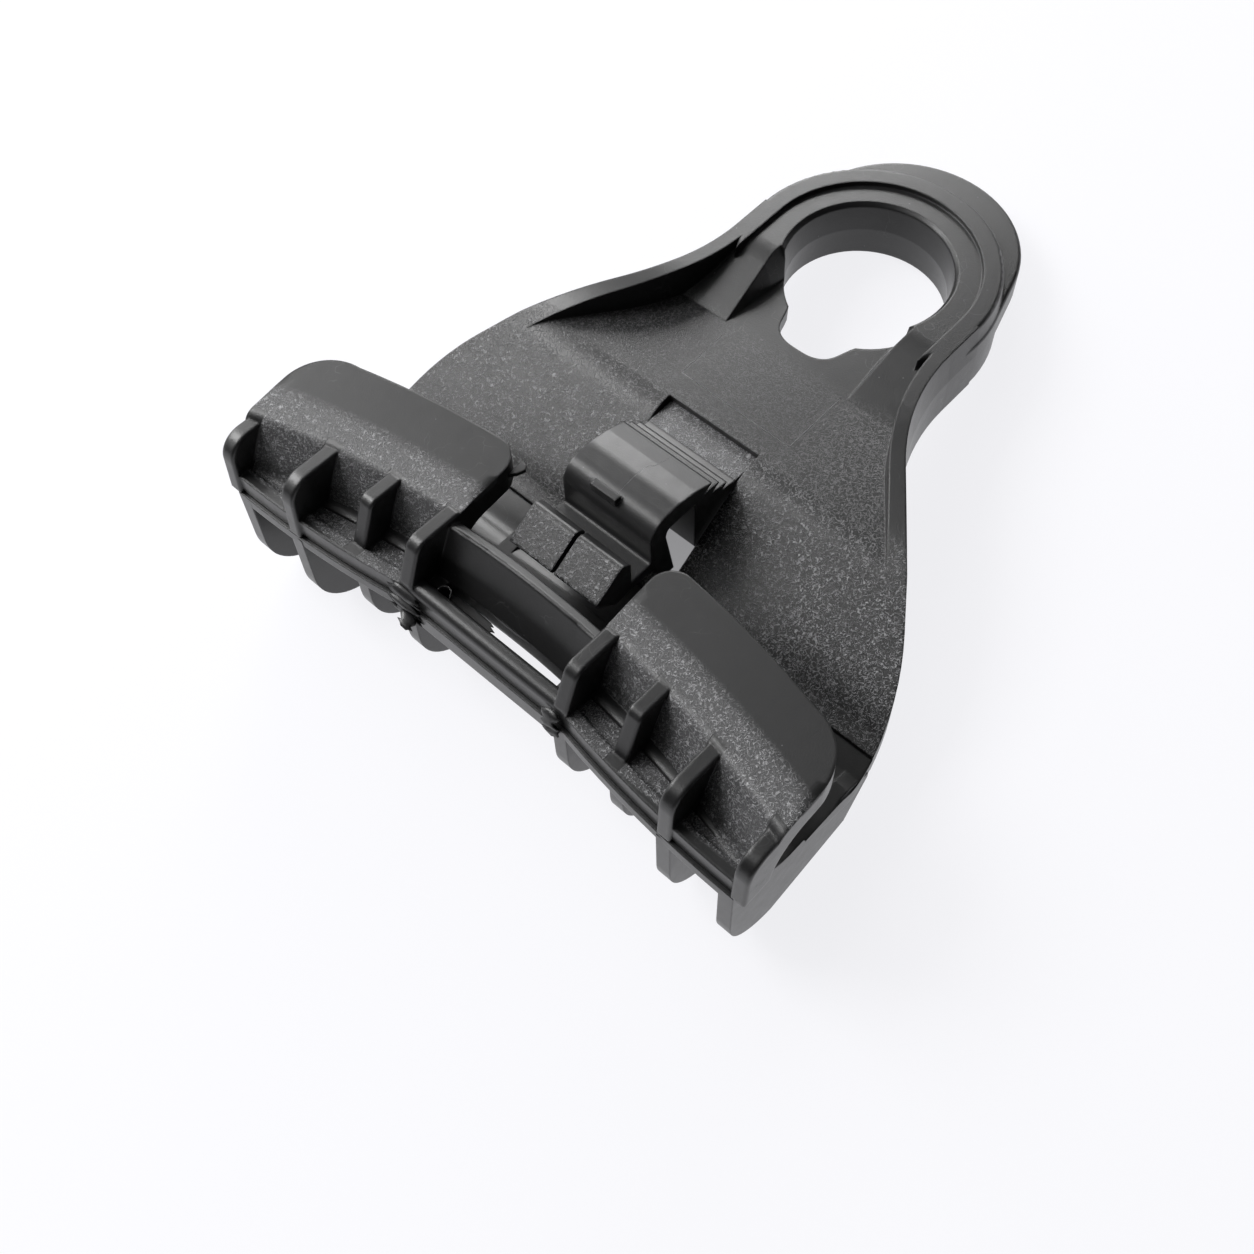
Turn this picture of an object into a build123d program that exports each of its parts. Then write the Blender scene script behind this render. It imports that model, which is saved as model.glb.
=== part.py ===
"""Suspension clamp for an overhead cable: one moulded body with a hanging eye, a hinged
front jaw and a sliding toothed keeper.

Frame: X along the cable, Y from the front to the back, Z up, origin at the eye's centre.
The eye's mid plane is Y = 0. All sizes are in millimetres.
"""
import math
import os

from build123d import *

os.makedirs("parts", exist_ok=True)

# Clearances between pieces that move
slide_clearance = 0.3
parting_clearance = 0.3

# Eye
eye_hole_r = 16.7
hole_draft = 0.7
eye_outer_r = 26.6
eye_thickness = 15.6
eye_front_part = 7.15
eye_edge_r = 0.7
side_draft_deg = 6.0
collar_r = 21.9
collar_step = 1.0
crown_r = 23.5
crown_rise = 11.1
crown_thickness = 6.6

# Web and its edge rims
web_thickness = 3.2
web_slope_deg = 35.0
web_bend_z = -49.1
web_foot_y = 16.3
web_bend_r = 10.0
rim_width = 3.6
rim_front_r = 47.0
rim_start_z = -24.0
flare_start_z = -9.0
flare_r = 40.0
flare_deg = 38.1
hip_start_z = -56.0
hip_r = 42.0

# Arms that ramp from the eye's collar down to the web
arm_end_z = -24.8
arm_top_z = -6.0
arm_inner_x = 13.6
arm_draft_deg = 23.0

# Cable seat and jaw
jaw_half_length = 63.5
back_half_length = 61.2
seat_r = 9.0
seat_y = 8.0
seat_z = -86.4
arch_r = 215.0
back_wall_thickness = 3.4
back_wall_hollow = 1.6
step_z = -73.4
lip_top_z = -77.6
flange_thickness = 3.4
flange_bottom_z = -112.0
flange_bottom_r = 230.0
back_flange_thickness = 2.6
front_lift = 0.8
bead_height = 2.6
rail_half = 20.2
rail_top_z = -104.1
rail_front_y = 2.4
window_half = 14.5
gap_half = 17.4

# Fins: inner three of each side at the same places on the front and the back
fin_thickness = 3.1
fin_edge_r = 0.5
inner_fins = [18.98, 32.08, 45.67]
outer_fin_from = 40.0
inner_lobe_y = 31.8
outer_lobe_y = 35.0

# Keeper
slot_half = 10.9
slot_top_z = -45.7
slot_bottom_z = -68.6
keeper_half = slot_half - slide_clearance
web_skin = 1.2
tongue_thickness = 4.5
keeper_lift = 6.0
tongue_top_z = -39.2
bridge_z = (-44.2, -40.2)
bridge_thickness = 2.0
guide_width = 3.0
guide_bottom_z = -52.0

big = 200.0
eye_back_part = eye_thickness - eye_front_part
front_face_y = seat_y - parting_clearance / 2
back_face_y = seat_y + parting_clearance / 2
back_wall_y = seat_y + seat_r
web_slope = math.radians(web_slope_deg)


def drop(x):
    """How far the arched jaw lies below its middle at x."""
    return arch_r - math.sqrt(arch_r**2 - x**2)


def rounded(corners):
    """Closed face from corners (u, v, radius); a radius above zero rounds that corner."""
    ends = []
    for i, (u, v, r) in enumerate(corners):
        here = Vector(u, v)
        before = (Vector(*corners[i - 1][:2]) - here).normalized()
        after = (Vector(*corners[(i + 1) % len(corners)][:2]) - here).normalized()
        if r <= 0:
            ends.append((here, None, here))
            continue
        half = math.acos(before.dot(after)) / 2
        reach = r / math.tan(half)
        inward = (before + after).normalized()
        centre = here + inward * (r / math.sin(half))
        ends.append((here + before * reach, centre - inward * r, here + after * reach))
    edges = []
    for i, (start, middle, end) in enumerate(ends):
        if middle is not None:
            edges.append(ThreePointArc(start, middle, end))
        following = ends[(i + 1) % len(ends)][0]
        if (following - end).length > 1e-4:
            edges.append(Line(end, following))
    return make_face(Wire(edges))


def along_x(face, x_from, x_to):
    """Extrude a face drawn in (Y, Z) from x_from to x_to."""
    return extrude(Plane.YZ.offset(x_from) * face, amount=x_to - x_from)


def along_y(face, y_from, y_to):
    """Extrude a face drawn in (X, Z) from y_from to y_to."""
    return extrude(Plane.XZ.offset(-y_from) * face, amount=-(y_to - y_from))


def flange_z(x):
    """Height of the flange's lower edge, which rises from the ends to the middle."""
    across = max(back_half_length - max(x, rail_half), 0)
    return flange_bottom_z + flange_bottom_r - math.sqrt(flange_bottom_r**2 - across**2)


def block(x_from, x_to, y_from, y_to, z_from, z_to):
    middle = ((x_from + x_to) / 2, (y_from + y_to) / 2, (z_from + z_to) / 2)
    return Pos(*middle) * Box(x_to - x_from, y_to - y_from, z_to - z_from)


def arched(face):
    """Sweep a face drawn in (Y, Z) at the middle of the jaw along the jaw's arch."""
    axis = Axis((0, 0, seat_z - arch_r), (0, 1, 0))
    turned = (Plane.YZ * face).rotate(axis, -20)
    return revolve(turned, axis, 40)


def both_sides(shape):
    return shape + mirror(shape, about=Plane.YZ)


def other_side(edges):
    """The same edges mirrored to the other side of the middle."""
    return [mirror(edge, about=Plane.YZ).edge() for edge in edges]


def one(shape):
    """The single solid of a boolean result."""
    solids = shape.solids()
    assert len(solids) == 1, [s.volume for s in solids]
    return solids[0]


# Outline of the body in (X, Z): eye side, flare, hip

flare = math.radians(flare_deg)
flare_end_x = eye_outer_r + flare_r * (1 - math.cos(flare))
flare_end_z = flare_start_z - flare_r * math.sin(flare)
hip_start_x = flare_end_x + (flare_end_z - hip_start_z) * math.tan(flare)
hip_end_x = hip_start_x + hip_r * (1 - math.cos(flare))
hip_end_z = hip_start_z - hip_r * math.sin(flare)


def outline(inset):
    """The body's outline, moved inwards by inset."""
    a = flare / 2
    side = eye_outer_r - inset
    big_r = flare_r + inset
    small_r = hip_r - inset
    flare_centre = Vector(eye_outer_r + flare_r, flare_start_z)
    hip_centre = Vector(hip_end_x - hip_r, hip_end_z)
    foot = seat_z - seat_r
    right = [
        Line((side, 0), (side, flare_start_z)),
        ThreePointArc(
            (side, flare_start_z),
            flare_centre + Vector(-math.cos(a), -math.sin(a)) * big_r,
            flare_centre + Vector(-math.cos(flare), -math.sin(flare)) * big_r,
        ),
        Line(
            flare_centre + Vector(-math.cos(flare), -math.sin(flare)) * big_r,
            hip_centre + Vector(math.cos(flare), math.sin(flare)) * small_r,
        ),
        ThreePointArc(
            hip_centre + Vector(math.cos(flare), math.sin(flare)) * small_r,
            hip_centre + Vector(math.cos(a), math.sin(a)) * small_r,
            (hip_end_x - inset, hip_end_z),
        ),
        Line((hip_end_x - inset, hip_end_z), (hip_end_x - inset, foot)),
    ]
    top = ThreePointArc((side, 0), (0, side), (-side, 0))
    bottom = Line((hip_end_x - inset, foot), (inset - hip_end_x, foot))
    return make_face(Wire(right + other_side(right) + [top, bottom]))


def drafted(face):
    """Block from a face drawn in (X, Z): straight behind the mid plane, drafted in front of it."""
    front = extrude(Plane.XZ * face, amount=eye_front_part, taper=side_draft_deg)
    return front + along_y(face, 0, 60)


# Eye with its crown flange

eye = drafted(Circle(eye_outer_r).face()) - block(-big, big, eye_back_part, big, -big, big)
eye_rims = eye.edges().filter_by(GeomType.CIRCLE).group_by(Axis.Y)
eye = fillet(eye_rims[0] + eye_rims[-1], eye_edge_r)
crown_face = make_hull(
    [Circle(eye_outer_r).edge(), (Pos(0, crown_rise) * Circle(crown_r)).edge()]
)
crown = along_y(crown_face, -crown_thickness / 2, crown_thickness / 2)
crown_top = crown.edges().filter_by(GeomType.CIRCLE).group_by(Axis.Z)[-1]
eye += fillet(crown_top, eye_edge_r)

# Web: flat below the eye, then slanting back to the jaw

lean = math.tan(web_slope)
foot_corner_z = web_bend_z - web_foot_y / lean
web_shift = web_thickness * math.tan(web_slope / 2)
web_face = rounded([
    (0, 0, 0),
    (0, web_bend_z, web_bend_r),
    (web_foot_y, foot_corner_z, web_bend_r),
    (web_foot_y, step_z - 5, 0),
    (web_foot_y + web_thickness, step_z - 5, 0),
    (web_foot_y + web_thickness, foot_corner_z + web_shift, web_bend_r - web_thickness),
    (web_thickness, web_bend_z + web_shift, web_bend_r - web_thickness),
    (web_thickness, 0, 0),
])
form = drafted(outline(0))
web = along_x(web_face, -big, big) & form
web -= block(-big, big, -50, 50, step_z - 40, step_z)

# Edge rims: thick beside the eye, thinning to nothing in front where the web slants

rim_end = math.radians(46)
rim_mid = rim_end / 2
rim_centre_y = rim_front_r - eye_front_part
rim_side = make_face(Wire([
    Line((eye_back_part, 0), (-eye_front_part, 0)),
    Line((-eye_front_part, 0), (-eye_front_part, rim_start_z)),
    ThreePointArc(
        (-eye_front_part, rim_start_z),
        (rim_centre_y - rim_front_r * math.cos(rim_mid), rim_start_z - rim_front_r * math.sin(rim_mid)),
        (rim_centre_y - rim_front_r * math.cos(rim_end), rim_start_z - rim_front_r * math.sin(rim_end)),
    ),
    Line(
        (rim_centre_y - rim_front_r * math.cos(rim_end), rim_start_z - rim_front_r * math.sin(rim_end)),
        (web_foot_y + 1, step_z),
    ),
    Line((web_foot_y + 1, step_z), (21, step_z)),
    Line((21, step_z), (15, -59.2)),
    ThreePointArc((15, -59.2), (9.8, -48), (eye_back_part, -38)),
    Line((eye_back_part, -38), (eye_back_part, 0)),
]))
band = form - along_y(outline(rim_width), -50, 60)
rims = along_x(rim_side, -big, big) & band

# Arms: ramps from the collar's level down to the web, front and back

collar_front = eye_front_part - collar_step
collar_back = eye_back_part - collar_step
arm_plan = rounded([
    (arm_inner_x, 4, 0),
    (arm_inner_x, -12.3, 0),
    (arm_inner_x + 1.6, arm_end_z - 3, 0),
    (30, arm_end_z - 3, 0),
    (30, 4, 0),
])


def arm(start_y, collar_y):
    """One ramp with a sloping inner side, from start_y out to the collar's level."""
    side = rounded([
        (start_y, arm_end_z, 0),
        (collar_y, arm_top_z - 4, 12),
        (collar_y, 4, 0),
        (start_y, 4, 0),
    ])
    plan = Plane.XZ.offset(-start_y) * arm_plan
    sloped = extrude(plan, amount=start_y - collar_y, taper=arm_draft_deg)
    return along_x(side, 0, big) & sloped & along_y(outline(1), -50, 50)


arms = both_sides(arm(0, -collar_front)) + both_sides(arm(web_thickness, collar_back))

# Eye hole, collar steps and the wavy opening under the hole

collar_cut = rounded([(-collar_r, -60, 0), (collar_r, -60, 0), (collar_r, 0, 0), (-collar_r, 0, 0)])
collar_recess = Circle(collar_r) + collar_cut
eye -= along_y(collar_recess, -eye_front_part, -collar_front)
eye -= along_y(collar_recess, collar_back, eye_back_part)
seam_r = eye_hole_r - hole_draft
mouth_r = eye_hole_r + eye_edge_r
hole_profile = rounded([
    (0, -big, 0),
    (mouth_r, -big, 0),
    (mouth_r, -collar_front, 0),
    (eye_hole_r, -collar_front + eye_edge_r, 0.6),
    (seam_r, 0, 0),
    (eye_hole_r, collar_back - eye_edge_r, 0.6),
    (mouth_r, collar_back, 0),
    (mouth_r, big, 0),
    (0, big, 0),
])
eye_hole = revolve(hole_profile, Axis.Y)

# The web's upper edge waves from side to side; its points are in parts of the hole's radius
wave_points = [
    (0, -1.27),
    (0.22, -1.245),
    (0.34, -1.17),
    (0.41, -1.05),
    (0.455, -0.91),
    (0.53, -0.76),
    (0.69, -0.585),
    (0.81, -0.425),
    (0.92, -0.28),
]
wave = [(u * eye_hole_r, v * eye_hole_r) for u, v in wave_points]
wave_right = Spline(*wave, tangents=[(1, 0), (0.5, 1)])
wave_end = wave[-1]
wave_up = Line(wave_end, (wave_end[0], 0))
wave_top = Line((wave_end[0], 0), (-wave_end[0], 0))
wave_face = make_face(Wire([wave_right, wave_up, *other_side([wave_right, wave_up]), wave_top]))
eye_lower = block(
    -collar_r, collar_r, -eye_front_part, eye_back_part, -30, arm_top_z - 1
)

upper = (eye - eye_lower) + rims + web + arms
upper -= eye_hole
upper -= along_y(wave_face, -50, 50)

# Back half of the jaw: wall, half seat, flange and fins

back_outer_r = seat_r + back_wall_thickness
wall_bottom_z = seat_z - 6.5
hollow_z = seat_z + 7.0
seat_top_z = seat_z + 3.0
back_wall_side = rounded([
    (back_wall_y, wall_bottom_z, 0),
    (back_wall_y, seat_top_z, 9),
    (back_wall_y + back_wall_hollow, hollow_z, 5),
    (back_wall_y, step_z, 0),
    (back_wall_y + back_wall_thickness, step_z, 0),
    (back_wall_y + back_wall_thickness + back_wall_hollow, hollow_z, 4),
    (back_wall_y + back_wall_thickness, seat_z, 0),
    (back_wall_y + 0.5, wall_bottom_z, 0),
])
back_wall = along_x(back_wall_side, -big, big) & form
seat_section = make_face(Wire([
    Line((back_wall_y, seat_top_z), (back_wall_y, seat_z)),
    ThreePointArc(
        (back_wall_y, seat_z),
        (seat_y + seat_r * math.sin(math.pi / 4), seat_z - seat_r * math.cos(math.pi / 4)),
        (seat_y, seat_z - seat_r),
    ),
    Line((seat_y, seat_z - seat_r), (seat_y, seat_z - back_outer_r - 2)),
    Line((seat_y, seat_z - back_outer_r - 2), (seat_y + 3.5, seat_z - back_outer_r - 1)),
    ThreePointArc(
        (seat_y + 3.5, seat_z - back_outer_r - 1),
        (seat_y + 9.2, seat_z - 8.6),
        (seat_y + back_outer_r, seat_z),
    ),
    Line((seat_y + back_outer_r, seat_z), (seat_y + back_outer_r, seat_top_z)),
    Line((seat_y + back_outer_r, seat_top_z), (back_wall_y, seat_top_z)),
]))


def lower_edge(half_length, lift=0.0):
    """Lower edge of a flange from x = 0 to half_length, moved up by lift."""
    middle_x = (back_half_length + rail_half) / 2
    level = flange_z(0) + lift
    end = flange_bottom_z + lift
    return [
        Line((0, level), (rail_half, level)),
        ThreePointArc(
            (rail_half, level), (middle_x, flange_z(middle_x) + lift), (back_half_length, end)
        ),
        Line((back_half_length, end), (half_length + 0.01, end)),
    ]


def flange_outline(half_length, lift=0.0):
    """Flange below the seat in (X, Z): arched on top, rising to the rail in the middle."""
    end_x = half_length + 0.01
    top_z = seat_z - seat_r - 2
    end_z = top_z - drop(end_x)
    right = [*lower_edge(half_length, lift), Line((end_x, flange_bottom_z + lift), (end_x, end_z))]
    top = ThreePointArc((-end_x, end_z), (0, top_z), (end_x, end_z))
    return make_face(Wire(right + other_side(right) + [top]))


def bead_outline(half_length, lift):
    """Band along a flange's lower edge, outside the rail."""
    top = lift + bead_height
    low = lower_edge(half_length, lift)[1:]
    high = lower_edge(half_length, top)[1:]
    end_x = half_length + 0.01
    inner = Line((rail_half, flange_z(0) + lift), (rail_half, flange_z(0) + top))
    outer = Line((end_x, flange_bottom_z + lift), (end_x, flange_bottom_z + top))
    return make_face(Wire([*low, *high, inner, outer]))


def back_fin(x):
    """One deep fin behind the jaw; the outer two of each side reach lower."""
    half = fin_thickness / 2
    lift = (drop(back_half_length) - drop(x)) * 0.6
    at_end = x + half > back_half_length - 0.01
    start_z = step_z - 1.5 if at_end else -80.4 + lift
    shoulder_z = -82.5 if at_end else -85.0 + lift
    back_y = outer_lobe_y if x > outer_fin_from else inner_lobe_y
    foot_z = flange_z(x) if x > outer_fin_from else flange_z(0)
    side = rounded([
        (back_wall_y + 2, start_z, 0),
        (back_wall_y + back_wall_thickness, start_z, 0),
        (back_y, shoulder_z, 7),
        (back_y, foot_z, 13),
        (seat_y + 1, foot_z, 0),
        (seat_y + 1, seat_z - seat_r - 1 - drop(x), 0),
    ])
    return along_x(side, x - half, x + half)


back_jaw = arched(seat_section) & block(-back_half_length, back_half_length, 0, 60, -130, step_z)
back_jaw += back_wall
back_jaw += along_y(flange_outline(back_half_length), seat_y, seat_y + back_flange_thickness)
back_rail_z = flange_z(0)
back_jaw += block(-rail_half, rail_half, seat_y, seat_y + 4.2, back_rail_z, back_rail_z + 3)
for place in [*inner_fins, back_half_length - fin_thickness / 2]:
    back_jaw += both_sides(back_fin(place))
seat_tunnel = rounded([
    (seat_y, seat_z + 20, 0),
    (back_wall_y, seat_z + 20, 0),
    (back_wall_y, seat_z - seat_r, seat_r - 0.001),
    (seat_y, seat_z - seat_r, 0),
])
back_jaw -= arched(seat_tunnel) & block(-big, big, 0, back_wall_y, -130, step_z)
back_jaw -= block(-big, big, 0, back_face_y, -140, step_z)
back_jaw -= block(-window_half, window_half, 0, 60, rail_top_z + 1.7, rail_top_z + 4.8)

slot = block(-slot_half, slot_half, -20, 60, slot_bottom_z, slot_top_z)
body = (upper - slot) + back_jaw

# Bridge behind the web that keeps the keeper's tongue against it

channel_top_z = tongue_top_z + keeper_lift + 1.0
body -= block(-slot_half, slot_half, web_skin, 6, slot_top_z - 1, channel_top_z)
tongue_front_y = web_skin + slide_clearance
tongue_back_y = tongue_front_y + tongue_thickness
bridge_inner_y = tongue_back_y + slide_clearance
guide_x = slot_half + guide_width
guide_back_y = bridge_inner_y + bridge_thickness
bridge_side = rounded([
    (0.5, bridge_z[1], 0),
    (guide_back_y, bridge_z[1], 1),
    (guide_back_y, guide_bottom_z, 1),
    (6.2, guide_bottom_z - 3, 0),
    (1.0, web_bend_z + 2, 0),
])
bridge = along_x(bridge_side, -guide_x, guide_x)
bridge -= block(-slot_half, slot_half, -1, bridge_inner_y, -60, bridge_z[1])
bridge -= block(-slot_half, slot_half, -1, 60, -60, bridge_z[0])
body += bridge

# Front half of the jaw

front_section = make_face(Wire([
    Line((-4.2, lip_top_z + 2), (-8.2, lip_top_z + 2)),
    Line((-8.2, lip_top_z + 2), (-7.0, -86.7)),
    Line((-7.0, -86.7), (-6.2, -92.0)),
    ThreePointArc((-6.2, -92.0), (-5.6, -93.6), (-4.2, -94.6)),
    Line((-4.2, -94.6), (3.4, -98.4)),
    ThreePointArc((3.4, -98.4), (4.2, -99.1), (seat_y - flange_thickness, -100.2)),
    Line((seat_y - flange_thickness, -100.2), (seat_y, -100.2)),
    Line((seat_y, -100.2), (seat_y, seat_z - seat_r)),
    ThreePointArc(
        (seat_y, seat_z - seat_r),
        (seat_y - seat_r * math.sin(math.pi / 4), seat_z - seat_r * math.cos(math.pi / 4)),
        (seat_y - seat_r, seat_z),
    ),
    Line((seat_y - seat_r, seat_z), (-1.6, -81.2)),
    Line((-1.6, -81.2), (-4.2, lip_top_z + 2)),
]))
wing_right = [
    Line((gap_half, -120), (gap_half, lip_top_z - 5)),
    ThreePointArc((gap_half, lip_top_z - 5), (gap_half + 1.5, lip_top_z - 1.7), (gap_half + 5, lip_top_z - 0.5)),
    ThreePointArc((gap_half + 5, lip_top_z - 0.5), (38, lip_top_z - 2.6), (54, lip_top_z - 6.1)),
    ThreePointArc((54, lip_top_z - 6.1), (60.7, lip_top_z - 9.4), (jaw_half_length, lip_top_z - 16)),
    Line((jaw_half_length, lip_top_z - 16), (jaw_half_length, -120)),
    Line((jaw_half_length, -120), (gap_half, -120)),
]
wing_plan = make_face(Wire(wing_right))
wings = both_sides(arched(front_section) & along_y(wing_plan, -30, 30))

bar_section = rounded([
    (-5.4, -95.8, 0.6),
    (-4.2, -93.4, 0.6),
    (seat_y, -98.6, 0),
    (seat_y, -100.9, 0),
    (4.4, -100.6, 0),
])
bar = arched(bar_section) & block(-gap_half - 0.5, gap_half + 0.5, -30, 30, -120, -80)

flange_front_y = seat_y - flange_thickness
rail_bottom_z = flange_z(0) + front_lift
front_flange = along_y(flange_outline(jaw_half_length, front_lift), flange_front_y, seat_y)
front_flange -= block(-window_half, window_half, 0, seat_y, rail_top_z + 0.1, -100.7)
rail_section = rounded([
    (rail_front_y, rail_top_z, 1.2),
    (seat_y, rail_top_z, 0),
    (seat_y, rail_bottom_z, 0),
    (rail_front_y, rail_bottom_z, 1.8),
])
rail = along_x(rail_section, -rail_half, rail_half)
bead_face = bead_outline(jaw_half_length, front_lift)
bead = both_sides(along_y(bead_face, flange_front_y - 1.1, seat_y))


def front_fin(x):
    """One gusset under the front wall, from the wall's bulge down to the flange."""
    half = fin_thickness / 2
    crest_z = -92.6 - drop(x)
    front_y = -6.5 + 1.2 * (x / 50) ** 2
    if x > outer_fin_from:
        foot = [(front_y - 0.3, flange_z(x) + 0.9, 5), (seat_y, flange_z(x), 0)]
    elif x < rail_half:
        foot = [(front_y - 0.3, -103.8, 3), (rail_front_y, rail_bottom_z, 1)]
    else:
        foot = [(front_y - 0.3, -102.8, 2.2), (4.2, -107.2, 1.2)]
    side = rounded([
        (front_y + 2.0, crest_z, 0),
        (front_y, crest_z - 0.2, 0.8),
        *foot,
        (seat_y, foot[-1][1] + 0.1, 0),
        (seat_y, seat_z - seat_r - 2 - drop(x), 0),
        (1.0, -95.6 - drop(x), 0),
    ])
    fin = along_x(side, x - half, x + half)
    sides = [e for e in fin.edges() if abs((e % 0.5).X) < 0.5 and e.center().Y < 2]
    return fillet(sides, fin_edge_r)


front_jaw = wings + bar + front_flange + rail + bead
for place in [*inner_fins, jaw_half_length - fin_thickness / 2]:
    front_jaw += both_sides(front_fin(place))
front_jaw -= block(-big, big, front_face_y, 60, -140, -60)

# Keeper: hood, toothed block, tongue, stem and split pad from one side view

tooth_tips = [(-2.7, -56.7), (-0.4, -54.4)]
tooth_valleys = [(-3.2, -60.8), (-1.3, -58.4)]
teeth = []
for valley, tip in zip(tooth_valleys, tooth_tips):
    teeth.append((*valley, 0))
    teeth.append((*tip, 0))
block_floor_z = -63.2
keeper_side = rounded([
    (-4.5, -58.7, 0),
    *teeth,
    (tongue_front_y - 0.8, -55.8, 0),
    (tongue_front_y, -52.3, 0),
    (tongue_front_y, tongue_top_z, 0.5),
    (tongue_back_y, tongue_top_z, 0.5),
    (tongue_back_y, -54.5, 2),
    (11.0, block_floor_z + 1, 0),
    (11.0, block_floor_z, 0.5),
    (-2.6, block_floor_z, 0.5),
    (-2.7, -70.6, 1.2),
    (-1.0, -71.1, 0),
    (11.0, -69.0, 0),
    (11.0, -72.2, 0),
    (5.4, -74.0, 0),
    (5.4, -84.6, 0),
    (0.6, -89.5, 0.5),
    (-4.1, -82.4, 1.4),
    (-2.6, -80.3, 0.8),
    (3.0, -80.3, 0),
    (3.0, -75.0, 0.8),
    (-7.0, -75.1, 4.4),
    (-7.2, -67.6, 6),
    (-6.2, -63.0, 3),
])
keeper = along_x(keeper_side, -keeper_half, keeper_half)
keeper += block(-4.2, 1.8, -7.3, -5.6, -74.5, -73.0)
keeper -= block(-0.4, 0.4, -10, 6, -95, -79.5)

# Write one file for each piece

for name, shape in (("body", body), ("front_jaw", front_jaw), ("keeper", keeper)):
    solid = one(shape)
    solid.label = name
    export_step(solid, f"parts/{name}.step")
    print(name, round(solid.volume / 1000, 2), "cm3", solid.bounding_box())
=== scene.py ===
import math
import random

import bmesh
import bpy
from mathutils import Matrix, Vector
from mathutils.bvhtree import BVHTree


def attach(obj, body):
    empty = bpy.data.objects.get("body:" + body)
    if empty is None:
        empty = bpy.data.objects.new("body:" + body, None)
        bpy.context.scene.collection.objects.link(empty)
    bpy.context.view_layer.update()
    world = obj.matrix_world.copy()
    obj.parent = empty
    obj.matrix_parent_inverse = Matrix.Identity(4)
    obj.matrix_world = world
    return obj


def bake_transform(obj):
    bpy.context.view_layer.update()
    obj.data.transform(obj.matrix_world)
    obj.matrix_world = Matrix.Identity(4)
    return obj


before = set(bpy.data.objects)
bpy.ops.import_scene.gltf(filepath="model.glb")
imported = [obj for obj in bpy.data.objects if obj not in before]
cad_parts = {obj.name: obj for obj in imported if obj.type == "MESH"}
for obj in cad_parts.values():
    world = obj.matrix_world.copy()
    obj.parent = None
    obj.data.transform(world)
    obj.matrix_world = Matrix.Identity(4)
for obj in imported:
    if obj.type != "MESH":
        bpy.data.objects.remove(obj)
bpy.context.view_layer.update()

# Where the surface changes, in metres

worn_edge = 0.0005
arch_diameter = 0.43
crease_z = -0.0867
fin_places = (0.01898, 0.03208, 0.04567, 0.06195)
web_bend_z = -0.0491
web_slope = 0.7
tongue_foot_z = -0.0520
hair = 0.0001


# Material helpers

class Nodes:
    """Adds nodes to the tree of a material or of the world, and joins them."""

    def __init__(self, owner, output):
        owner.use_nodes = True
        self.tree = owner.node_tree
        self.tree.nodes.clear()
        self.output = self.tree.nodes.new(output)

    def put(self, value, socket):
        """Link an output to an input socket, or set the socket to a plain value."""
        if hasattr(value, "is_linked"):
            self.tree.links.new(value, socket)
        else:
            socket.default_value = value

    def add(self, kind, inputs=(), **settings):
        node = self.tree.nodes.new(kind)
        for key, value in settings.items():
            setattr(node, key, value)
        for key, value in dict(inputs).items():
            self.put(value, node.inputs[key])
        return node

    def finish(self, shader):
        self.put(shader.outputs[0], self.output.inputs[0])

    def math(self, operation, a, b=0.0, c=0.0):
        return self.add("ShaderNodeMath", {0: a, 1: b, 2: c}, operation=operation).outputs[0]

    def vector(self, operation, a, b):
        return self.add("ShaderNodeVectorMath", {0: a, 1: b}, operation=operation).outputs

    def step(self, value, low, high):
        """0 below low, 1 above high, smooth between; the other way round where low is higher."""
        inputs = {"Value": value, "From Min": low, "From Max": high}
        return self.add("ShaderNodeMapRange", inputs, interpolation_type="SMOOTHSTEP").outputs[0]

    def mix(self, factor, a, b):
        """Colour a where the factor is 0, and b where it is 1."""
        return self.add("ShaderNodeMix", {0: factor, 6: a, 7: b}, data_type="RGBA").outputs[2]

    def noise(self, place, scale, detail, roughness, distortion=0.0):
        inputs = {
            "Vector": place, "Scale": scale, "Detail": detail, "Roughness": roughness,
            "Distortion": distortion,
        }
        return self.add("ShaderNodeTexNoise", inputs)

    def cells(self, place, scale, **settings):
        inputs = {"Vector": place, "Scale": scale, "Randomness": 1}
        return self.add("ShaderNodeTexVoronoi", inputs, **settings)

    def bump(self, height, strength, distance, normal):
        inputs = {"Height": height, "Strength": strength, "Distance": distance, "Normal": normal}
        return self.add("ShaderNodeBump", inputs).outputs[0]


def new_material(name):
    material = bpy.data.materials.new(name)
    return material, Nodes(material, "ShaderNodeOutputMaterial")


def grey(level):
    """A grey with a trace of blue."""
    return (level, level, level * 1.03, 1)


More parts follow.
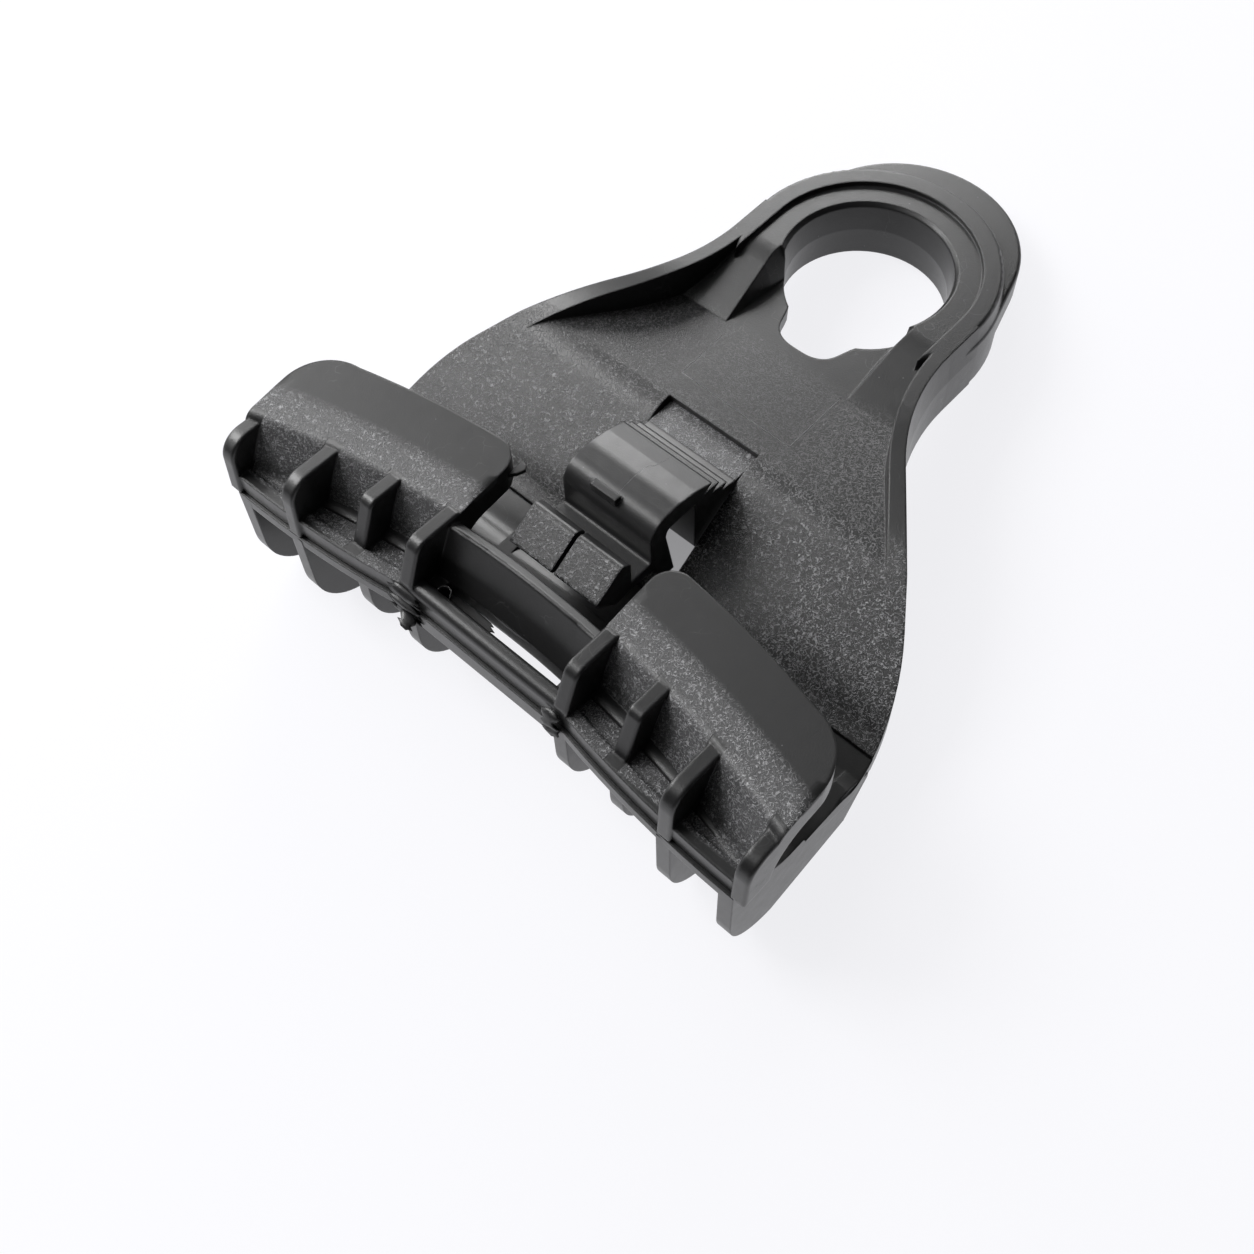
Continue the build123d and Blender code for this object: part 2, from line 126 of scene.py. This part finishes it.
def plastic(name, rough_mask=None, soft_edges=None, painted_sheen_mask=None, base=0.015, grain_and_glint_tones=(0.015, 0.34)):
    """Glass-filled nylon: satin where the mould was polished, with a grain where it was eroded, its ridges
    lightened as painted glints.

    rough_mask, soft_edges and painted_sheen_mask take the node builder and the x, y, z sockets
    in metres and return a socket: 1 where the surface is eroded, the radius to which edges are
    worn, and 1 where the grain is lightened as a painted sheen. Only what faces the front is eroded.
    grain_and_glint_tones are the greys of the grain's ground and of its ridges, lightened as painted
    glints.
    """
    material, n = new_material(name)
    own = n.add("ShaderNodeTexCoord").outputs
    place = own["Object"]
    x, y, z = n.add("ShaderNodeSeparateXYZ", {0: place}).outputs
    mask = 0.0
    if rough_mask:
        facing = n.add("ShaderNodeSeparateXYZ", {0: own["Normal"]}).outputs[1]
        mask = n.math("MULTIPLY", rough_mask(n, x, y, z), n.step(facing, -0.15, -0.30))
    radius = soft_edges(n, x, y, z) if soft_edges else worn_edge

    cloud = n.noise(place, scale=60, detail=5, roughness=0.65).outputs[0]
    blotch = n.noise(place, scale=420, detail=4, roughness=0.65).outputs[0]
    grain = n.noise(place, scale=3000, detail=2, roughness=0.6).outputs[0]
    leather = n.noise(place, scale=1350, detail=1.5, roughness=0.55, distortion=0.9).outputs[0]
    ridge = n.step(n.math("ABSOLUTE", n.math("SUBTRACT", leather, 0.5)), 0.058, 0.004)

    # Painted glints: light round dots in one cell of six or so, standing in for light glinting off the
    # grain
    dots = n.cells(place, scale=520)
    chance = n.add("ShaderNodeSeparateColor", {0: dots.outputs["Color"]}).outputs[0]
    painted_glint = n.math("MULTIPLY", n.step(chance, 0.80, 0.84), n.step(dots.outputs["Distance"], 0.085, 0.035))

    # Fine scratches: the borders of bent cells, in patches
    bend = n.vector("MULTIPLY", n.noise(place, 180, 2, 0.5).outputs["Color"], (0.012, 0.012, 0.012))
    shifted = n.vector("ADD", place, bend[0])[0]
    border = n.cells(shifted, scale=120, feature="DISTANCE_TO_EDGE").outputs[0]
    scratch = n.math("MULTIPLY", n.step(border, 0.012, 0.003), n.step(cloud, 0.50, 0.62))

    # The grain is real; the light grey of its raised ridges is painted glints, standing in for the light
    # they catch
    grain_with_painted_glints = n.mix(ridge, grey(grain_and_glint_tones[0]), grey(grain_and_glint_tones[1]))
    # Painted sheen: the tongue's grain is lighter still, standing in for the glints it catches through the
    # slot
    if painted_sheen_mask:
        painted_sheen_grain = n.mix(ridge, grey(0.08), grey(0.36))
        grain_with_painted_glints = n.mix(painted_sheen_mask(n, x, y, z), grain_with_painted_glints, painted_sheen_grain)
    colour = n.mix(cloud, grey(base * 0.75), grey(base * 1.3))
    colour = n.mix(mask, colour, grain_with_painted_glints)
    colour = n.mix(n.math("MULTIPLY", scratch, 0.22), colour, grey(0.16))
    # Painted glints: the light dots, mixed in at a little under half strength
    colour = n.mix(n.math("MULTIPLY", painted_glint, 0.45), colour, grey(0.22))
    rough = n.math("MULTIPLY_ADD", mask, 0.05, 0.27)
    rough = n.math("MULTIPLY_ADD", blotch, 0.12, rough)

    rounded = n.add("ShaderNodeBevel", {"Radius": radius}, samples=5).outputs[0]
    skin = n.math("MULTIPLY_ADD", blotch, 0.6, n.math("MULTIPLY", grain, 0.7))
    fine = n.bump(skin, strength=0.10, distance=0.0003, normal=rounded)
    hide = n.math("MULTIPLY", n.math("MULTIPLY_ADD", grain, 0.5, ridge), mask)
    normal = n.bump(hide, strength=0.85, distance=0.00011, normal=fine)
    inputs = {"Base Color": colour, "Roughness": rough, "Normal": normal, "IOR": 1.55}
    n.finish(n.add("ShaderNodeBsdfPrincipled", inputs))
    return material


def body_mask(n, x, y, z):
    """The slanted web is eroded, its flat part and its foot less so, and nothing else; the weaker grain at
    the foot is painted shade, darkening it where the front jaw shades the web.
    """
    slant = n.math("MULTIPLY", n.math("SUBTRACT", web_bend_z, z), web_slope)
    web_y = n.math("MAXIMUM", slant, 0.0)
    off = n.math("ABSOLUTE", n.math("SUBTRACT", y, web_y))
    on_web = n.step(off, 0.0024, 0.0018)
    below_eye = n.step(z, -0.0215, -0.0270)
    above_jaw = n.step(z, -0.0736, -0.0733)
    sides = n.math("MULTIPLY", n.step(n.math("ABSOLUTE", x), 0.010, 0.024), 0.14)
    # Painted shade: the grain, lighter than the smooth nylon, fades to a quarter towards the foot,
    # darkening it where the front jaw shades the web
    foot = n.math("MULTIPLY_ADD", n.step(z, -0.060, -0.072), -0.75, 1.0)
    slanted = n.math("MULTIPLY", n.step(z, -0.042, -0.057), foot)
    strong = n.math("MULTIPLY_ADD", n.math("MAXIMUM", sides, slanted), 0.92, 0.08)
    return n.math("MULTIPLY", n.math("MULTIPLY", below_eye, strong), n.math("MULTIPLY", above_jaw, on_web))


def arched_height(n, x, z):
    """Height above the jaw's arch, as at its middle."""
    return n.math("MULTIPLY_ADD", n.math("MULTIPLY", x, x), 1 / arch_diameter, z)


def jaw_mask(n, x, y, z):
    """The wall under the lip's crease is eroded; the lip, the fins and the beads are smooth."""
    side = n.math("ABSOLUTE", x)
    local = arched_height(n, x, z)
    wall = n.step(local, crease_z + 0.0010, crease_z - 0.0022)
    fins = 0.0
    for fin in fin_places:
        near = n.step(n.math("ABSOLUTE", n.math("SUBTRACT", side, fin)), 0.00185, 0.00160)
        fins = n.math("MAXIMUM", near, fins)
    fins = n.math("MULTIPLY", fins, n.step(local, -0.0920, -0.0928))
    wing = n.step(side, 0.0172, 0.0176)
    above_bead = n.step(z, -0.1095, -0.1085)
    shown = n.math("MULTIPLY", wall, n.math("SUBTRACT", 1.0, fins))
    return n.math("MULTIPLY", shown, n.math("MULTIPLY", wing, above_bead))


def jaw_edges(n, x, y, z):
    """The crease under the lip is a soft bend, the bead and the bell mouths are well rounded."""
    local = arched_height(n, x, z)
    off_crease = n.math("ABSOLUTE", n.math("SUBTRACT", local, crease_z))
    crease = n.math("MULTIPLY", n.step(off_crease, 0.0034, 0.0020), n.step(y, -0.0050, -0.0058))
    radius = n.math("MULTIPLY_ADD", crease, 0.0024, worn_edge)
    end = n.math("MULTIPLY", n.step(n.math("ABSOLUTE", x), 0.0612, 0.0624), 0.0005)
    bead = n.math("MULTIPLY", n.step(z, -0.1030, -0.1036), 0.0003)
    return n.math("ADD", radius, n.math("MAXIMUM", end, bead))


def tongue_mask(n, x, y, z):
    """The tongue, which shows through the slot above the hood."""
    return n.step(z, tongue_foot_z - hair, tongue_foot_z + hair)


def keeper_mask(n, x, y, z):
    """The tongue is eroded, and the pad's lower faces less so."""
    pad = n.math("MULTIPLY", n.step(z, -0.0824, -0.0830), 0.70)
    return n.math("MAXIMUM", tongue_mask(n, x, y, z), pad)


looks = {
    "body": plastic("body_nylon", body_mask),
    "front_jaw": plastic("front_jaw_nylon", jaw_mask, soft_edges=jaw_edges, grain_and_glint_tones=(0.06, 0.30)),
    # The tongue's grain gets the painted sheen
    "keeper": plastic("keeper_nylon", keeper_mask, painted_sheen_mask=tongue_mask, base=0.020),
}
for node, material in looks.items():
    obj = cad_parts[node]
    obj.data.materials.clear()
    obj.data.materials.append(material)

smooth_nylon = plastic("smooth_nylon", base=0.020)
# A much lighter grey nylon, for the raised hairlines
hairline_nylon = plastic("hairline_nylon", base=0.30)


# Small pieces: flash, seams, straps and coves

def swept(name, rings, body, material=smooth_nylon):
    """A closed solid through rings of the same number of points, riding on a body if one is named."""
    mesh = bpy.data.meshes.new(name)
    form = bmesh.new()
    placed = [[form.verts.new(point) for point in ring] for ring in rings]
    for here, there in zip(placed, placed[1:]):
        for k in range(len(here)):
            form.faces.new((here[k], here[k - 1], there[k - 1], there[k]))
    form.faces.new(placed[0])
    form.faces.new(list(reversed(placed[-1])))
    bmesh.ops.recalc_face_normals(form, faces=form.faces)
    for face in form.faces:
        face.smooth = len(face.verts) == 4
    form.to_mesh(mesh)
    form.free()
    mesh.materials.append(material)
    piece = bpy.data.objects.new(name, mesh)
    bpy.context.scene.collection.objects.link(piece)
    if body:
        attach(piece, body)
    return piece


def curve_through(points, steps=4):
    """Points of a smooth line through the given ones."""
    ends = [points[0] * 2 - points[1], *points, points[-1] * 2 - points[-2]]
    line = []
    for a, b, c, d in zip(ends, ends[1:], ends[2:], ends[3:]):
        for k in range(steps):
            t = k / steps
            bend = (2 * a - 5 * b + 4 * c - d) * t**2 + (3 * b - 3 * c + d - a) * t**3
            line.append(0.5 * (2 * b + (c - a) * t + bend))
    return line + [points[-1]]


def around(line, k):
    """The way along a line at its point k, from the point before to the point after."""
    return line[min(k + 1, len(line) - 1)] - line[max(k - 1, 0)]


def lump(name, body, path, half_width, half_thickness, across, rough=0.0, seed=1):
    """A lumpy strip along a path; across is the direction of its width. Sizes in millimetres."""
    corners = 10
    narrow_end = 0.55
    draw = random.Random(seed)
    line = curve_through([Vector(p) / 1000 for p in path])
    across = Vector(across).normalized()
    rings = []
    for k, point in enumerate(line):
        out = around(line, k).cross(across).normalized()
        taper = narrow_end if k in (0, len(line) - 1) else 1.0
        swell = taper * (1 + rough * draw.uniform(-1, 1))
        ring = []
        for step in range(corners):
            turn = step / corners * math.tau
            wide = across * math.cos(turn) * half_width / 1000
            thick = out * math.sin(turn) * half_thickness / 1000 * (1 + rough * draw.uniform(-1, 1))
            ring.append(point + (wide + thick) * swell)
        rings.append(ring)
    return swept(name, rings, body)


surfaces = {}


def meets(node, origin, direction):
    """Where a line from origin first meets a node, and how its surface faces there."""
    if node not in surfaces:
        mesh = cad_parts[node].data
        corners = [v.co for v in mesh.vertices]
        surfaces[node] = BVHTree.FromPolygons(corners, [p.vertices for p in mesh.polygons])
    place, normal, _, _ = surfaces[node].ray_cast(origin, direction)
    if normal.dot(direction) > 0:
        normal = -normal
    return place, normal


def seam(name, node, points, width, height):
    """A raised hairline on a node, through (x, z) points seen from the front. Sizes in millimetres."""
    backwards = Vector((0, 1, 0))
    start = backwards * -0.1
    spacing = 0.7
    sunk_depth = 0.00003
    places = [Vector((x, 0, z)) / 1000 for x, z in points]
    found = []
    for a, b in zip(places, places[1:]):
        parts = max(1, round((b - a).length * 1000 / spacing))
        found += [meets(node, a.lerp(b, k / parts) + start, backwards) for k in range(parts)]
    found.append(meets(node, places[-1] + start, backwards))
    line = [place for place, _ in found]
    rings = []
    for k, (place, normal) in enumerate(found):
        side = normal.cross(around(line, k)).normalized() * width / 2000
        sunk = place - normal * sunk_depth
        rings.append([sunk - side, place + normal * height / 1000, sunk + side])
    return swept(name, rings, node, hairline_nylon)


def plate(name, body, outline, y_from, y_to):
    """A thin plate with an outline of (x, z) corners, between two depths, all in millimetres."""
    rings = [[Vector((x, y, z)) / 1000 for x, z in outline] for y in (y_from, y_to)]
    piece = swept(name, rings, body)
    for face in piece.data.polygons:
        face.use_smooth = False
    return piece


# Coves where the front jaw's ribs meet its flange, one in each pocket between two fins

under_wall = Vector((0, 2.6, -98.0))
on_flange = Vector((0, 4.6, -100.6))
cove_corner = Vector((0, 4.3, -99.2))
inside_wall = Vector((0, 5.4, -98.2))
cove_parts = 8
bend_parts = 6
bend = [k / bend_parts for k in range(bend_parts + 1)]
cove_section = [under_wall * (1 - t) ** 2 + cove_corner * 2 * t * (1 - t) + on_flange * t**2 for t in bend]
cove_section.append(inside_wall)
for side, side_name in ((-1, "left"), (1, "right")):
    for k, (inner, outer) in enumerate(zip(fin_places, fin_places[1:])):
        rings = []
        for part in range(cove_parts + 1):
            x = 1000 * (inner + (outer - inner) * part / cove_parts)
            shift = Vector((side * x, 0, -x * x / (1000 * arch_diameter)))
            rings.append([(point + shift) / 1000 for point in cove_section])
        swept(f"cove_{side_name}_{k + 1}", rings, "front_jaw")

# Crumpled straps across the parting line, which the front jaw turns on

strap_left = lump(
    "strap_left", None,
    [
        (-18.8, 11.6, -108.2), (-18.9, 10.2, -109.0), (-19.3, 8.6, -108.5), (-19.0, 7.6, -109.2),
        (-18.6, 6.4, -108.2), (-19.0, 5.2, -108.5), (-18.8, 4.0, -107.3),
    ],
    half_width=2.9, half_thickness=0.30, across=(1, 0.12, 0.05), rough=0.55, seed=4,
)
strap_right = lump(
    "strap_right", None,
    [
        (17.2, 11.4, -108.3), (17.6, 9.8, -109.1), (17.9, 8.2, -108.6), (17.4, 6.6, -109.2),
        (17.2, 4.2, -107.7),
    ],
    half_width=1.5, half_thickness=0.26, across=(1, -0.1, 0), rough=0.5, seed=9,
)
for strap in (strap_left, strap_right):
    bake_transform(strap)
lump(
    "strap_tab", "body",
    [(-17.6, 9.0, -108.6), (-17.0, 9.3, -110.2), (-16.6, 9.6, -111.6)],
    half_width=1.6, half_thickness=0.3, across=(1, 0.2, 0), rough=0.35, seed=3,
)

# Flash: a film over the left part of the window, a curl beside it, a leaf on the left wing

film = [
    (-15.2, -104.2), (-15.2, -100.5), (-9.0, -100.5), (-7.8, -101.05), (-5.6, -101.15), (-4.2, -101.2),
    (-3.3, -101.5), (-3.9, -101.75), (-2.4, -102.2), (-3.1, -102.5), (-1.8, -104.2),
]
plate("window_film", "front_jaw", film, 7.45, 7.65)
lump(
    "flash_curl", "front_jaw",
    [
        (-14.1, 3.4, -104.3), (-13.9, 3.3, -103.2), (-13.0, 3.2, -102.6), (-11.9, 3.2, -102.9),
        (-11.0, 3.3, -104.2),
    ],
    half_width=0.6, half_thickness=0.16, across=(0, 1, 0),
)
leaf = [(-17.8, -77.9), (-16.6, -78.1), (-15.9, -79.0), (-16.5, -80.6), (-17.8, -82.4)]
plate("flash_leaf", "front_jaw", leaf, -5.4, -4.6)

# Mould marks: three sides of an insert's outline on the web, and the seam down the hood

insert = [(-13.2, -27.6), (-12.9, -40.1), (13.8, -40.6), (13.8, -25.5)]
seam("insert_mark", "body", insert, width=0.26, height=0.05)
hood_line = [(1.5, -59.6), (1.3, -63.9), (0.5, -64.8), (0.8, -72.6)]
seam("hood_seam", "keeper", hood_line, width=0.12, height=0.03)

# The table that the clamp lies on in the photograph, seen from its front only. It glows to
# the camera, so that it is white and keeps the shadow, and is darker where the slot shows it.

table_up = Vector((0, -0.9768, -0.2142))
table_point = Vector((0, 0.0355, -0.1030))
table_reach = 3.0
table_glow = 0.84
# Painted shadow: around this point, which the slot shows, the table's glow is lowered by slot_shade
under_slot = (0.001, 0.0253, -0.0565)
slot_shade = -0.58

table_across = Vector((1, 0, 0))
table_along = table_up.cross(table_across)
corners = [
    table_point + (table_across * a + table_along * b) * table_reach
    for a, b in ((-1, -1), (1, -1), (1, 1), (-1, 1))
]
table_mesh = bpy.data.meshes.new("table")
table_mesh.from_pydata(corners, [], [(0, 1, 2, 3)])
table_mesh.update()
if table_mesh.polygons[0].normal.dot(table_up) < 0:
    table_mesh.flip_normals()
table = bpy.data.objects.new("table", table_mesh)
bpy.context.scene.collection.objects.link(table)

table_white, n = new_material("table")
path = n.add("ShaderNodeLightPath").outputs
seen = n.math("MAXIMUM", path["Is Glossy Ray"], path["Is Transmission Ray"])
seen = n.math("MAXIMUM", path["Is Camera Ray"], seen)
surface = n.add("ShaderNodeNewGeometry").outputs
# Painted shadow: the glow is lowered within 30 mm of the point under the slot, fully within 12 mm
shade = n.step(n.vector("DISTANCE", surface["Position"], under_slot)["Value"], 0.030, 0.012)
level = n.math("MULTIPLY_ADD", shade, slot_shade, table_glow)
glow = n.add("ShaderNodeEmission", {"Color": grey(1.0), "Strength": level})
shown = n.add("ShaderNodeBsdfDiffuse", {"Color": grey(0.13)})
bright = n.add("ShaderNodeAddShader", {0: shown.outputs[0], 1: glow.outputs[0]})
lit = n.add("ShaderNodeBsdfDiffuse", {"Color": grey(0.80)})
front = n.add("ShaderNodeMixShader", {0: seen, 1: lit.outputs[0], 2: bright.outputs[0]})
clear = n.add("ShaderNodeBsdfTransparent")
n.finish(n.add("ShaderNodeMixShader", {0: surface["Backfacing"], 1: front.outputs[0], 2: clear.outputs[0]}))
table_mesh.materials.append(table_white)

# White surroundings that light the clamp a little

world = bpy.data.worlds.new("studio")
bpy.context.scene.world = world
n = Nodes(world, "ShaderNodeOutputWorld")
path = n.add("ShaderNodeLightPath").outputs
seen = n.math("MAXIMUM", path["Is Camera Ray"], path["Is Transmission Ray"])
strength = n.math("MULTIPLY_ADD", seen, 0.97, 0.03)
n.finish(n.add("ShaderNodeBackground", {"Color": (1, 1, 1, 1), "Strength": strength}))

# Soft lamps: the direction from the clamp to each and its power in watts

lamp_size = 0.45
lamp_distance = 1.0
lamp_target = Vector((0, 0.005, -0.04))
lamps = {
    "front": ((-0.63, -0.70, -0.33), 7.4),
    "upper_left": ((-0.59, -0.53, 0.61), 4.2),
    "high": ((-0.44, -0.42, 0.79), 2.2),
    "middle": ((-0.38, -0.90, 0.10), 0.6),
    "left": ((-0.78, -0.61, 0.12), 2.9),
    "far_left": ((-0.96, -0.26, -0.10), 1.6),
    "lower_left": ((-0.73, -0.34, -0.60), 1.1),
    "low": ((-0.25, -0.78, -0.58), 0.9),
    "behind": ((0.30, 0.90, 0.40), 2.4),
}
for name, (direction, power) in lamps.items():
    lamp = bpy.data.lights.new(name, "AREA")
    lamp.shape = "RECTANGLE"
    lamp.size = lamp_size
    lamp.size_y = lamp_size
    lamp.energy = power
    obj = bpy.data.objects.new(name, lamp)
    bpy.context.scene.collection.objects.link(obj)
    away = Vector(direction).normalized()
    obj.location = lamp_target + away * lamp_distance
    obj.rotation_mode = "QUATERNION"
    obj.rotation_quaternion = away.to_track_quat("Z", "Y")

# Camera: solved from the eye, the even fins and the outline's symmetry

camera = bpy.data.cameras.new("camera")
camera.sensor_width = 36.0
camera.lens = 43.892
camera.shift_x = -0.00104
camera_object = bpy.data.objects.new("camera", camera)
bpy.context.scene.collection.objects.link(camera_object)
camera_place = (0.11348, -0.22388, -0.18579)
right = Vector((0.73918, 0.02471, 0.67305))
down = Vector((0.56579, 0.51933, -0.64045))
forward = right.cross(down).normalized()
up = -(forward.cross(right)).normalized()
turn = Matrix((right, up, -forward)).transposed()
camera_object.matrix_world = Matrix.Translation(camera_place) @ turn.to_4x4()
bpy.context.scene.camera = camera_object
bpy.context.scene.view_settings.view_transform = "Standard"
